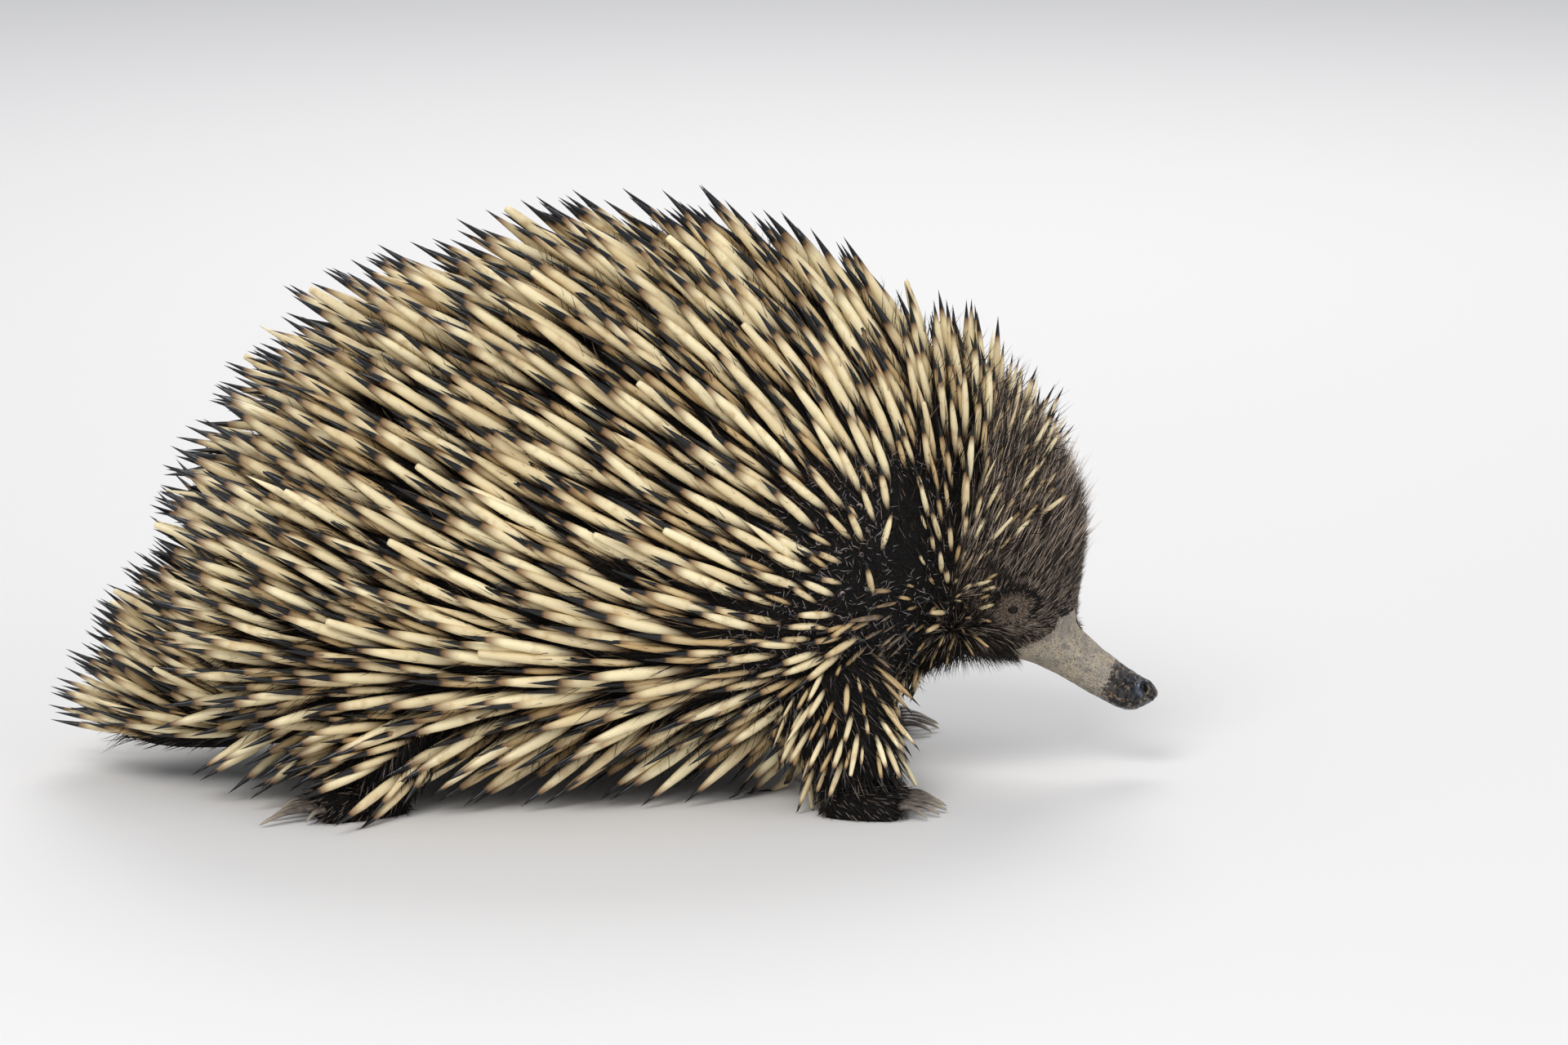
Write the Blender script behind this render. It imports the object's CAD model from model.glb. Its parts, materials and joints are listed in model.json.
import json
import math

import bpy
import numpy as np
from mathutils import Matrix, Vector
from mathutils.bvhtree import BVHTree
from mathutils.kdtree import KDTree

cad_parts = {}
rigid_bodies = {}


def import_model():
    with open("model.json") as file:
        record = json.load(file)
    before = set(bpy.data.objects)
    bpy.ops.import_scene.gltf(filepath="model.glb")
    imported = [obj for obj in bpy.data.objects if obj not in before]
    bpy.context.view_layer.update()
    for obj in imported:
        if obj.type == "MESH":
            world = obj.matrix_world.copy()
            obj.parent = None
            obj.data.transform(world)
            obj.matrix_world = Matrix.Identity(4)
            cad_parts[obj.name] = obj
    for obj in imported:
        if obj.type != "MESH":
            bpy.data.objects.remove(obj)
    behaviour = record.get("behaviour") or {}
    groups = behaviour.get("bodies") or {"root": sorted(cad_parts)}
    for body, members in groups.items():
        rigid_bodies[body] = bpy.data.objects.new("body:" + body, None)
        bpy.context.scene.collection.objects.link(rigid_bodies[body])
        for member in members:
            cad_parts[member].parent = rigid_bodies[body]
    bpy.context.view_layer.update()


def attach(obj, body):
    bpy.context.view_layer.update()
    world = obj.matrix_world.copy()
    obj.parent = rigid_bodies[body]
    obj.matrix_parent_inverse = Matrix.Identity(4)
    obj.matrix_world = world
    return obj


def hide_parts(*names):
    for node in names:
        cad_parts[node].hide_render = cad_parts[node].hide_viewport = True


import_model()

# Camera
# A long lens looks at the animal's right side from a little above. The frame is 1920 by 1280
# pixels, and each of them is 0.3125 mm at the animal.
FRAME_PIXELS, PIXEL_SIZE = 1920, 0.0003125
CAMERA_AIM = Vector((0.0703, 0.0, 0.0974))
CAMERA_RISE, CAMERA_DISTANCE, SENSOR_MM = math.radians(12), 2.6, 36
CAMERA_WAY = Vector((0, -math.cos(CAMERA_RISE), math.sin(CAMERA_RISE)))

camera = bpy.data.objects.new("camera", bpy.data.cameras.new("camera"))
bpy.context.scene.collection.objects.link(camera)
camera.data.sensor_width = SENSOR_MM
camera.data.lens = SENSOR_MM * CAMERA_DISTANCE / (FRAME_PIXELS * PIXEL_SIZE)
camera.location = CAMERA_AIM + CAMERA_DISTANCE * CAMERA_WAY
camera.rotation_euler = (math.pi / 2 - CAMERA_RISE, 0, 0)
bpy.context.scene.camera = camera


# Skin
# The hide of the whole animal is one closed surface: the trunk with its head and beak, the tail
# and the four legs. The trunk is lofted between the outline of the back and that of the belly,
# and the lids, the ear cups, the nostrils and the mouth are raised or sunk in its surface.

# The back's x and z, the belly's x and z, the half width, and how much wider it is low down.
STATIONS = np.array([
    (-0.140, 0.068, -0.140, 0.068, 0.000, 0.00),    # rear pole
    (-0.136, 0.096, -0.135, 0.038, 0.036, 0.05),    # rump
    (-0.126, 0.119, -0.124, 0.020, 0.057, 0.10),    # haunch
    (-0.100, 0.149, -0.097, 0.013, 0.074, 0.17),    # hip
    (-0.059, 0.175, -0.058, 0.011, 0.082, 0.19),    # loin
    (0.000, 0.192, -0.006, 0.011, 0.083, 0.19),     # mid back
    (0.053, 0.195, 0.046, 0.013, 0.078, 0.17),      # shoulder
    (0.097, 0.179, 0.086, 0.019, 0.066, 0.12),      # fore shoulder
    (0.126, 0.162, 0.109, 0.033, 0.048, 0.04),      # base of the neck
    (0.151, 0.146, 0.124, 0.042, 0.038, 0.00),      # nape
    (0.171, 0.125, 0.134, 0.047, 0.033, 0.00),      # back of the skull
    (0.182, 0.101, 0.143, 0.0485, 0.0285, 0.00),    # crown
    (0.1835, 0.080, 0.153, 0.0465, 0.0220, 0.00),   # brow
    (0.1825, 0.0605, 0.166, 0.0425, 0.0125, 0.00),  # root of the beak
    (0.1880, 0.0520, 0.177, 0.0370, 0.0092, 0.00),  # base of the beak
    (0.1980, 0.0436, 0.1885, 0.0303, 0.0076, 0.00),
    (0.2060, 0.0380, 0.1975, 0.0254, 0.0067, 0.00),
    (0.2115, 0.0345, 0.2050, 0.0240, 0.0056, 0.00),
    (0.2138, 0.0290, 0.2138, 0.0290, 0.0000, 0.00),  # tip of the beak
])
BEAK_TIP = float(len(STATIONS) - 1)
RUMP_CUT, NECK_BASE, NECK_CUT = 3.5, 7.9, 9.0
# The distance between rows of the trunk's mesh at stations along it, finest at the eyes and the nostrils.
ROW_STATIONS = (0, 8, 9.2, 10.8, 11.5, 12.6, 13.2, 15.5, 16.2, 18)
ROW_SPACING = (0.0045, 0.0040, 0.0010, 0.0010, 0.00038, 0.00038, 0.0008, 0.0008, 0.0004, 0.0004)
COLUMNS, EYE_CROWDING, EYE_BAND, SAMPLES = 244, 2.2, 0.25, 4000
EYE_X, EYE_Z, EYE_SUNK = 0.157, 0.070, 0.0019
LID_LONG, LID_HIGH, SOCKET_DEEP, SOCKET_RADIUS = 1.14, 0.90, 3.0, 1.60
# Rings round the eye, in millimetres: height, radius and width of the rim, a fold, a groove and the brow.
LID_RINGS = ((1.25, 2.15, 0.60), (0.70, 4.1, 1.4), (-0.30, 7.4, 1.0), (0.80, 10.2, 1.8))
EAR_X, EAR_Z, EAR_FORWARD, EAR_UP = 0.1345, 0.0700, 0.0052, 0.0085
NOSTRIL_X, NOSTRIL_Z, NOSTRIL_LONG, NOSTRIL_HIGH = 0.2085, 0.0335, 0.0014, 0.0021
MOUTH_X, MOUTH_Z, MOUTH_LENGTH, MOUTH_SLOPE = 0.2150, 0.0272, 0.0090, math.radians(33)
MUD_LUMPS = ((0.22, 0.0045), (0.12, 0.0017), (0.05, 0.0007))  # height in millimetres, size in metres
FACE_X, MUD_X = 0.115, 0.160
# The height of the fur's edge at each x on the side of the face, and where it ends in the middle.
FUR_EDGE = np.array([(0.148, -1), (0.156, 0.050), (0.169, 0.0560), (0.1734, 0.0587), (0.1747, 0.0635),
                     (0.180, 0.0645), (0.188, 0.068)])
EDGE_HALF_WIDTH, EDGE_BROW_X, EDGE_THROAT_Z = 0.006, 0.1855, 0.0495
# The wet tip of the beak begins at this x at this height, and further forward above it.
WET_X, WET_Z, WET_LEAN = 0.1950, 0.038, 0.45
# How far from the eye's middle the lids are pale, and how far from the nostril's its bluish rim runs.
LID_PALE, LID_FADE, RIM_FAR, RIM_WIDE, EYE_PIT, NOSTRIL_PIT = 0.0050, 0.0016, 0.0027, 0.0010, 0.0018, 0.0021
TAIL = np.array([   # x, z, half width, half height
    (-0.108, 0.044, 0.040, 0.030), (-0.134, 0.038, 0.037, 0.027), (-0.158, 0.031, 0.029, 0.021),
    (-0.176, 0.024, 0.016, 0.012), (-0.186, 0.020, 0.000, 0.000)])
# A limb's path is x, y, z, its fore and aft radius, and its radius across.
LEGS = {
    "foreleg": {
        "limb": np.array([
            (0.082, 0.030, 0.060, 0.0200, 0.0140), (0.087, 0.046, 0.044, 0.0220, 0.0180),
            (0.094, 0.060, 0.026, 0.0175, 0.0150), (0.099, 0.064, 0.009, 0.0145, 0.0125)]),
        "heel": (0.085, 0.062), "heading": (1.0, 0.14), "length": 0.030, "width": 0.0155,
        "height": 0.0135, "claws": (0.013, 0.017, 0.018, 0.016, 0.012)},
    "hindleg": {
        "limb": np.array([
            (-0.074, 0.030, 0.058, 0.0240, 0.0140), (-0.074, 0.048, 0.042, 0.0260, 0.0190),
            (-0.080, 0.061, 0.024, 0.0190, 0.0160), (-0.086, 0.065, 0.009, 0.0150, 0.0130)]),
        "heel": (-0.073, 0.058), "heading": (-0.90, 0.42), "length": 0.036, "width": 0.0140,
        "height": 0.0135, "claws": (0.009, 0.026, 0.019, 0.012, 0.010)},
}
SIDES = (("left", 1), ("right", -1))
LIMBS = {f"{kind}_{name}": (leg, side) for kind, leg in LEGS.items() for name, side in SIDES}
# Along a paw: share of its length, of its width and of its height.
PAW_SHAPE = np.array([(0.00, 0.12, 0.30), (0.03, 0.42, 0.60), (0.12, 0.80, 0.88), (0.45, 1.00, 1.00),
                      (0.80, 1.00, 0.80), (0.97, 0.90, 0.60), (1.00, 0.70, 0.40)])
SOLE_HEIGHT, SOLE_NARROWER, TOE_HEIGHT, TOE_WIDTH = 0.002, 0.86, 0.0011, 0.37
FURRED_SKIN, FUZZ_SKIN, LID_SKIN = (0.0045, 0.0038, 0.0034), (0.034, 0.029, 0.026), (0.26, 0.195, 0.145)
DRY_SKIN, TAN_SKIN, GREY_SKIN = (0.54, 0.47, 0.37), (0.60, 0.50, 0.36), (0.31, 0.285, 0.255)
MUD_SHADE, MUD_CRUMB, WET_SPECK = (0.12, 0.10, 0.08), (0.80, 0.71, 0.54), (0.32, 0.215, 0.12)
WET_BACK, WET_FRONT = (0.036, 0.029, 0.024), (0.007, 0.008, 0.011)
WET_RIM, PIT = (0.15, 0.17, 0.23), (0.002, 0.002, 0.002)


def unit(vectors):
    """Vectors divided by their lengths."""
    return vectors / np.maximum(np.linalg.norm(vectors, axis=-1, keepdims=True), 1e-12)


def dot(a, b):
    """The products of two arrays of vectors, kept as a column."""
    return (a * b).sum(axis=-1, keepdims=True)


def upward(heights):
    """Vectors straight up, as long as the heights."""
    return heights[:, None] * (0, 0, 1)


def to_left(points):
    """The points, with those of the right side mirrored to the left."""
    return points * (1, 0, 1) + np.abs(points) * (0, 1, 0)


def ease(share):
    """0 below 0, 1 above 1, and 3s squared less 2s cubed between them."""
    share = np.clip(share, 0, 1)
    return share * share * (3 - 2 * share)


def hump(distance, width):
    """A bell: e to the power of minus the square of distance over width."""
    return np.exp(-(distance / width) ** 2)


def lumps(points, size, seed=0):
    """Smooth random heights from -1 to 1: hashed values at the corners of cubes of a size, blended."""
    low = np.floor(points / size).astype(np.int64)
    blend = ease(points / size - low)
    total = np.zeros(len(points))
    for corner in np.ndindex(2, 2, 2):
        x, y, z = (low + corner).T
        key = (x * 73856093) ^ (y * 19349663) ^ (z * 83492791) ^ (seed * 6271 + 977)
        value = ((key * 1103515245 + 12345) >> 12 & 0xFFFF) / 0x7FFF - 1
        total += value * np.prod(np.where(corner, blend, 1 - blend), axis=1)
    return total


def curve_through(rows, u, before=None, after=None):
    """The Catmull-Rom cubic through rows, u counting rows. Past an end it runs straight on, or to the row
    that is given."""
    before = 2 * rows[0] - rows[1] if before is None else before
    after = 2 * rows[-1] - rows[-2] if after is None else after
    padded = np.vstack([before, rows, after])
    first = np.clip(u.astype(int), 0, len(rows) - 2)
    t = (u - first)[:, None]
    p0, p1, p2, p3 = (padded[first + k] for k in range(4))
    return 0.5 * (2 * p1 + (p2 - p0) * t + (2 * p0 - 5 * p1 + 4 * p2 - p3) * t**2
                  + (3 * p1 - p0 - 3 * p2 + p3) * t**3)


def trunk(u, angle):
    """Middle of back and belly at station u, plus half their distance times the angle's sine, and sideways
    the half width times its cosine, wider low down."""
    mirrored = [2, 3, 0, 1, 4, 5]
    flipped = np.array([1, 1, 1, 1, -1, 1])
    rows = curve_through(STATIONS, u, STATIONS[1, mirrored] * flipped, STATIONS[-2, mirrored] * flipped)
    back, belly, rise = rows[:, 0:2], rows[:, 2:4], np.sin(angle)
    x, z = ((back + belly) / 2 + (back - belly) / 2 * rise[:, None]).T
    return np.column_stack([x, rows[:, 4] * np.cos(angle) * (1 - rows[:, 5] * rise), z])


def outward(surface, s, t, step=1e-4):
    """Unit normals: the cross product of the surface's slopes in its two parameters."""
    along = surface(s + step, t) - surface(s - step, t)
    around = surface(s, t + step) - surface(s, t - step)
    return unit(np.cross(around, along))


def side_frame(x, z):
    """The point of the head's left side at x and z, with the unit directions forward, up and outward there,
    and its station and angle."""
    stations, angles = np.linspace(NECK_BASE, BEAK_TIP, 1200), np.linspace(-1.5, 1.5, 300)
    s, t = (grid.ravel() for grid in np.meshgrid(stations, angles))
    points = trunk(s, t)
    nearest = [np.argmin((points[:, 0] - x) ** 2 + (points[:, 2] - z) ** 2)]
    out = outward(trunk, s[nearest], t[nearest])[0]
    out = out * np.sign(out[1])
    up = unit(np.array([0, 0, 1]) - out * out[2])
    forward = np.cross(up, out)
    return points[nearest][0], forward * np.sign(forward[0]), up, out, s[nearest][0], t[nearest][0]


EYE_FRAME, EAR_FRAME, NOSTRIL_FRAME = (side_frame(*at) for at in (
    (EYE_X, EYE_Z), (EAR_X, EAR_Z), (NOSTRIL_X, NOSTRIL_Z)))


def across_frame(points, place):
    """How far forward, up and outward points are from a place on the side, on whichever side they lie."""
    apart = to_left(points) - place[0]
    return (apart @ axis for axis in place[1:4])


def lid_relief(points):
    """Millimetres of height about the eye: the rings, a rim that is higher above, folds and a socket."""
    forward, up, out = across_frame(points, EYE_FRAME)
    away = np.hypot(forward / LID_LONG, up / LID_HIGH) * 1000
    turn = np.arctan2(up, forward)
    rings = sum(high * hump(away - far, wide) for high, far, wide in LID_RINGS)
    upper = 0.25 * hump(away - 2.8, 1.0) * np.sin(turn)
    folds = 0.22 * np.cos(away * 5.2 + 1.6 * lumps(points, 0.0025)) + 0.13 * np.sin(13 * turn + away)
    height = rings + upper + folds * hump(away - 3.9, 1.1) - SOCKET_DEEP * ease((SOCKET_RADIUS - away) / 0.4)
    return np.where(np.abs(out) < 0.012, height, 0)


def ear_relief(points):
    """Millimetres of height about the ear: a ridge round its back, and a slit-like pit in front of it."""
    forward, up, out = across_frame(points, EAR_FRAME)
    away = np.hypot(forward / EAR_FORWARD, up / EAR_UP)
    behind = 0.3 + 0.7 * ease(0.5 - forward / EAR_FORWARD)
    height = 3.6 * hump(away - 0.95, 0.22) * behind - 3.2 * ease((0.75 - away) / 0.35)
    return np.where(np.abs(out) < 0.02, height, 0)


def beak_relief(points):
    """Millimetres of height on the beak: its nostrils, the mouth between its lips, and caked dry mud."""
    forward, up, out = across_frame(points, NOSTRIL_FRAME)
    away = np.hypot(forward / NOSTRIL_LONG, (up + 0.2 * forward) / NOSTRIL_HIGH)
    nostril = 0.40 * hump(away - 1.35, 0.35) - 1.5 * ease((1.15 - away) / 0.5)
    nostril = np.where(np.abs(out) < 0.005, nostril, 0)
    x, z = points[:, 0] - MOUTH_X, points[:, 2] - MOUTH_Z
    back = -(x * math.cos(MOUTH_SLOPE) - z * math.sin(MOUTH_SLOPE)) / MOUTH_LENGTH
    off = (x * math.sin(MOUTH_SLOPE) + z * math.cos(MOUTH_SLOPE)) * 1000
    mouth = (0.30 * hump(np.abs(off) - 0.95, 0.5) - 0.75 * hump(off, 0.32)) * ease((1 - back) * 5)
    mud = sum(high * lumps(points, size, seed + 1) for seed, (high, size) in enumerate(MUD_LUMPS))
    return nostril + mouth * (points[:, 0] > 0.2) + mud * ease((points[:, 0] - MUD_X) / 0.02)


def skin_point(u, angle):
    """The trunk's point moved along its normal by the reliefs, which are given in millimetres."""
    points = trunk(u, angle)
    height = np.zeros(len(points))
    face = points[:, 0] > FACE_X
    height[face] = lid_relief(points[face]) + ear_relief(points[face]) + beak_relief(points[face])
    height += 0.5 * lumps(points, 0.011, 4) * ease((0.118 - points[:, 0]) / 0.012)
    return points + outward(trunk, u, angle) * height[:, None] / 1000


def tail(s, angle):
    """An ellipse of the tail's half width and half height round its middle line."""
    x, z, wide, high = curve_through(TAIL, s).T
    return np.column_stack([x, np.abs(wide) * np.cos(angle), z + np.abs(high) * np.sin(angle)])


def limb(leg, side):
    """The surface of a limb: round its path, the fore and aft radius ahead and the other across."""
    path = leg["limb"] * (1, side, 1, 1, 1)

    def surface(s, angle):
        rows = curve_through(path, s)
        along = unit((curve_through(path, s + 0.01) - curve_through(path, s - 0.01))[:, :3])
        ahead = unit(np.array([[1.0, 0, 0]]) - along * along[:, :1])
        across = np.cross(along, ahead)
        return (rows[:, :3] + ahead * (rows[:, 3] * np.cos(angle))[:, None]
                + across * (rows[:, 4] * np.sin(angle))[:, None])
    return surface


def paw_frame(leg, side):
    """The paw's heel on the floor, the way it points, and the way across it."""
    heel, heading = (np.array([leg[key][0], leg[key][1] * side, 0]) for key in ("heel", "heading"))
    heading = unit(heading)
    return heel, heading, np.array([-heading[1], heading[0], 0])


def paw(leg, side):
    """A low arch over a flat sole: across it the cosine of the angle, up it the sine to the power 0.8, with
    five toes swelling in front."""
    heel, heading, across = paw_frame(leg, side)

    def surface(s, angle):
        length, wide, high = curve_through(PAW_SHAPE, s).T
        rise = np.sin(np.clip(angle, 0, math.pi))
        spread = np.where(rise > 0, np.cos(angle), SOLE_NARROWER * np.cos(angle))
        toes = TOE_HEIGHT * np.cos(2 * math.pi * spread / TOE_WIDTH) * ease((length - 0.55) / 0.4) * rise
        top = rise**0.8 * (high * leg["height"] - SOLE_HEIGHT) + SOLE_HEIGHT + toes
        forward, sideways = length * leg["length"], wide * leg["width"] * spread
        return (heel + heading * forward[:, None] + across * sideways[:, None]
                + upward(np.where(rise > 1e-6, top, 0)))
    return surface


def closed_tube(surface, rows, columns):
    """Points and faces of a surface over rows and columns, each end row drawn to one point."""
    s, t = np.meshgrid(rows[1:-1], columns, indexing="ij")
    ends = [surface(np.full(len(columns), row), columns).mean(axis=0) for row in (rows[0], rows[-1])]
    points = np.vstack([surface(s.ravel(), t.ravel()), ends])
    count, around = s.shape
    here = np.arange(count * around).reshape(count, around)
    beside = np.roll(here, -1, axis=1)
    quads = np.stack([here[:-1], beside[:-1], beside[1:], here[1:]], axis=-1).reshape(-1, 4)
    start = np.column_stack([beside[0], here[0], np.full(around, count * around)])
    end = np.column_stack([here[-1], beside[-1], np.full(around, count * around + 1)])
    return points, (quads, np.vstack([start, end]))


def new_piece(name, points, polygons, material=None):
    """A smooth mesh object from points and arrays of faces, each array with its own number of corners."""
    mesh = bpy.data.meshes.new(name)
    corners = np.concatenate([faces.ravel() for faces in polygons])
    sizes = np.concatenate([np.full(len(faces), faces.shape[1]) for faces in polygons])
    mesh.vertices.add(len(points))
    mesh.vertices.foreach_set("co", points.astype(np.float32).ravel())
    mesh.loops.add(len(corners))
    mesh.loops.foreach_set("vertex_index", corners.astype(np.int32))
    mesh.polygons.add(len(sizes))
    mesh.polygons.foreach_set("loop_start", (np.cumsum(sizes) - sizes).astype(np.int32))
    mesh.update(calc_edges=True)
    mesh.shade_smooth()
    piece = bpy.data.objects.new(name, mesh)
    bpy.context.scene.collection.objects.link(piece)
    if material:
        mesh.materials.append(material)
    return piece


def set_attribute(mesh, name, values):
    """One number for each point of the mesh, which its material reads by name."""
    mesh.attributes.new(name, "FLOAT", "POINT").data.foreach_set("value", values.astype(np.float32))


def spaced_rows(surface, end, stations, spacing):
    """Rows from station 0 to the end, so far apart where the surface is longest between them."""
    fine = np.linspace(0, end, SAMPLES)
    lines = np.stack([surface(fine, np.full(len(fine), angle)) for angle in (-1.57, -0.8, 0, 0.8, 1.57)])
    steps = np.linalg.norm(np.diff(lines, axis=1), axis=2).max(axis=0)
    count = np.append(0, np.cumsum(steps / np.interp(fine[1:], stations, spacing)))
    return np.interp(np.linspace(0, count[-1], int(count[-1]) + 2), count, fine)


def eye_columns():
    """Angles round the trunk, three times as close together at the eyes."""
    fine = np.linspace(-math.pi / 2, 1.5 * math.pi, SAMPLES)
    left = EYE_FRAME[5]
    density = 1 + sum(EYE_CROWDING * hump(fine - eye, EYE_BAND) for eye in (left, math.pi - left))
    count = np.append(0, np.cumsum(density[1:]))
    return np.interp(np.linspace(0, count[-1], COLUMNS + 1)[:-1], count, fine)


def edge_of_fur(points):
    """How far points are, in metres, on the bare side of the fur's edge: a V that is open to the beak."""
    below = np.interp(points[:, 0], *FUR_EDGE.T) - points[:, 2]
    beside = ease(np.abs(points[:, 1]) / EDGE_HALF_WIDTH)
    middle = np.where(points[:, 2] > EDGE_THROAT_Z, points[:, 0] - EDGE_BROW_X, below)
    return beside * below + (1 - beside) * middle


def add(tree, kind, sockets=None, **settings):
    """A shader node with its settings. Each socket named gets a value or another node's output."""
    node = tree.nodes.new("ShaderNode" + kind)
    for key, value in settings.items():
        setattr(node, key, value)
    for key, value in (sockets or {}).items():
        if isinstance(value, bpy.types.NodeSocket):
            tree.links.new(value, node.inputs[key])
        else:
            node.inputs[key].default_value = value
    return node


def new_material(name):
    """A Principled material, with its tree, its shader and the output of object coordinates."""
    material = bpy.data.materials.new(name)
    material.use_nodes = True
    tree = material.node_tree
    return material, tree, tree.nodes["Principled BSDF"], add(tree, "TexCoord").outputs["Object"]


def noise(tree, where, scale, detail=2.0, rough=0.5):
    """A noise from 0 to 1, so many lumps to the metre."""
    sockets = {"Vector": where, "Scale": scale, "Detail": detail, "Roughness": rough}
    return add(tree, "TexNoise", sockets).outputs["Fac"]


def between(tree, value, low, high):
    """0 at low and 1 at high, smooth between them."""
    return add(tree, "MapRange", {"Value": value, "From Min": low, "From Max": high},
               interpolation_type="SMOOTHSTEP").outputs["Result"]


def maths(tree, operation, a, b):
    """The sum, product or other operation of two values or outputs."""
    return add(tree, "Math", {0: a, 1: b}, operation=operation).outputs[0]


def mix(tree, share, a, b):
    """Colour a, then b as the share goes from 0 to 1. A colour is three numbers or an output."""
    a, b = ((*c, 1) if isinstance(c, tuple) else c for c in (a, b))
    return add(tree, "Mix", {"Factor": share, 6: a, 7: b}, data_type="RGBA").outputs[2]


def attribute(tree, name):
    """The number that the mesh keeps at each point under a name."""
    return add(tree, "Attribute", attribute_name=name).outputs["Fac"]


def times(tree, a, b):
    """The product of two values or outputs."""
    return maths(tree, "MULTIPLY", a, b)


def finish(tree, shader, colour, roughness, specular=0.5):
    """Gives the shader its colour, its roughness and its specular level."""
    tree.links.new(colour, shader.inputs["Base Color"])
    shader.inputs["Roughness"].default_value = roughness
    shader.inputs["Specular IOR Level"].default_value = specular


def roughen(tree, shader, height, distance, strength):
    """Raises the shader's surface by a bump of a height from 0 to 1, so many metres high."""
    bump = add(tree, "Bump", {"Height": height, "Distance": distance, "Strength": strength})
    tree.links.new(bump.outputs["Normal"], shader.inputs["Normal"])


def hide_material():
    """Near-black hide under the fur, paler round the eyes, grey-tan mud dried on the bare beak, and a wet tip
    that is dark brown behind, blue-black in front, bluish round the nostrils and specked with dirt."""
    material, tree, shader, where = new_material("hide")
    grain, patches = noise(tree, where, 1500, 5, 0.8), noise(tree, where, 210, 4, 0.6)
    fine, gloss, blotches, cake = (noise(tree, where, scale, 3) for scale in (800, 520, 330, 120))
    ragged = times(tree, maths(tree, "SUBTRACT", fine, 0.5), 0.004)
    bare = between(tree, maths(tree, "ADD", attribute(tree, "bare"), ragged), -0.0004, 0.0006)
    wet = between(tree, maths(tree, "ADD", attribute(tree, "wet"), times(tree, ragged, 1.8)), -0.0005, 0.0006)
    mud = mix(tree, between(tree, patches, 0.40, 0.66), DRY_SKIN, TAN_SKIN)
    mud = mix(tree, between(tree, blotches, 0.50, 0.70), mud, GREY_SKIN)
    mud = mix(tree, times(tree, between(tree, cake, 0.48, 0.62), 0.45), mud, GREY_SKIN)
    mud = mix(tree, between(tree, grain, 0.52, 0.36), mud, MUD_SHADE)
    mud = mix(tree, between(tree, grain, 0.60, 0.70), mud, MUD_CRUMB)
    damp = mix(tree, between(tree, attribute(tree, "wet"), 0.001, 0.010), WET_BACK, WET_FRONT)
    specks = times(tree, between(tree, fine, 0.50, 0.60), between(tree, patches, 0.50, 0.60))
    rim = times(tree, attribute(tree, "rim"), between(tree, grain, 0.35, 0.60))
    lids = times(tree, attribute(tree, "lids"), between(tree, grain, 0.36, 0.60))
    damp = mix(tree, rim, mix(tree, specks, damp, WET_SPECK), WET_RIM)
    under_fur = mix(tree, lids, mix(tree, between(tree, grain, 0.52, 0.70), FURRED_SKIN, FUZZ_SKIN), LID_SKIN)
    colour = mix(tree, attribute(tree, "pit"), mix(tree, bare, under_fur, mix(tree, wet, mud, damp)), PIT)
    finish(tree, shader, colour, 0.90, 0.22)
    slick = times(tree, wet, bare)
    tree.links.new(times(tree, between(tree, gloss, 0.44, 0.58), slick), shader.inputs["Coat Weight"])
    shader.inputs["Coat Roughness"].default_value = 0.10
    tree.links.new(maths(tree, "SUBTRACT", 0.90, times(tree, slick, 0.60)), shader.inputs["Roughness"])
    height = maths(tree, "ADD", grain, times(tree, fine, 1.5))
    roughen(tree, shader, maths(tree, "ADD", height, times(tree, blotches, 3.0)), 0.0006, 1.0)
    return material


AROUND_TUBE = np.linspace(0, 2 * math.pi, 40, endpoint=False)
AROUND_PAW = np.append(np.linspace(0, math.pi, 37), np.linspace(math.pi, 2 * math.pi, 10)[1:-1])
skin = new_piece("skin", *closed_tube(skin_point, spaced_rows(trunk, BEAK_TIP, ROW_STATIONS, ROW_SPACING),
                                      eye_columns()), hide_material())
limbs = [closed_tube(tail, np.linspace(0, 4, 30), AROUND_TUBE)]
for leg, side in LIMBS.values():
    limbs.append(closed_tube(limb(leg, side), np.linspace(0, 3, 26), AROUND_TUBE))
    limbs.append(closed_tube(paw(leg, side), np.linspace(0, len(PAW_SHAPE) - 1, 49), AROUND_PAW))
grown = bpy.data.collections.new("limbs")
for points, polygons in limbs:
    part = new_piece("part", points, polygons)
    part.data.flip_normals()
    bpy.context.scene.collection.objects.unlink(part)
    grown.objects.link(part)
fuse = skin.modifiers.new("fuse", "BOOLEAN")
fuse.operation, fuse.solver, fuse.operand_type, fuse.collection = "UNION", "MANIFOLD", "COLLECTION", grown
skin.data = bpy.data.meshes.new_from_object(skin.evaluated_get(bpy.context.evaluated_depsgraph_get()))
skin.modifiers.clear()
for part in list(grown.objects):
    bpy.data.objects.remove(part)
skin.data.name = "skin"
skin.data.shade_smooth()
skin_points = np.array([vertex.co for vertex in skin.data.vertices])
set_attribute(skin.data, "bare", edge_of_fur(skin_points))
set_attribute(skin.data, "wet", skin_points[:, 0] - WET_X + WET_LEAN * (WET_Z - skin_points[:, 2]))
from_eye, from_nostril = (np.linalg.norm(to_left(skin_points) - place[0], axis=1)
                          for place in (EYE_FRAME, NOSTRIL_FRAME))
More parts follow.
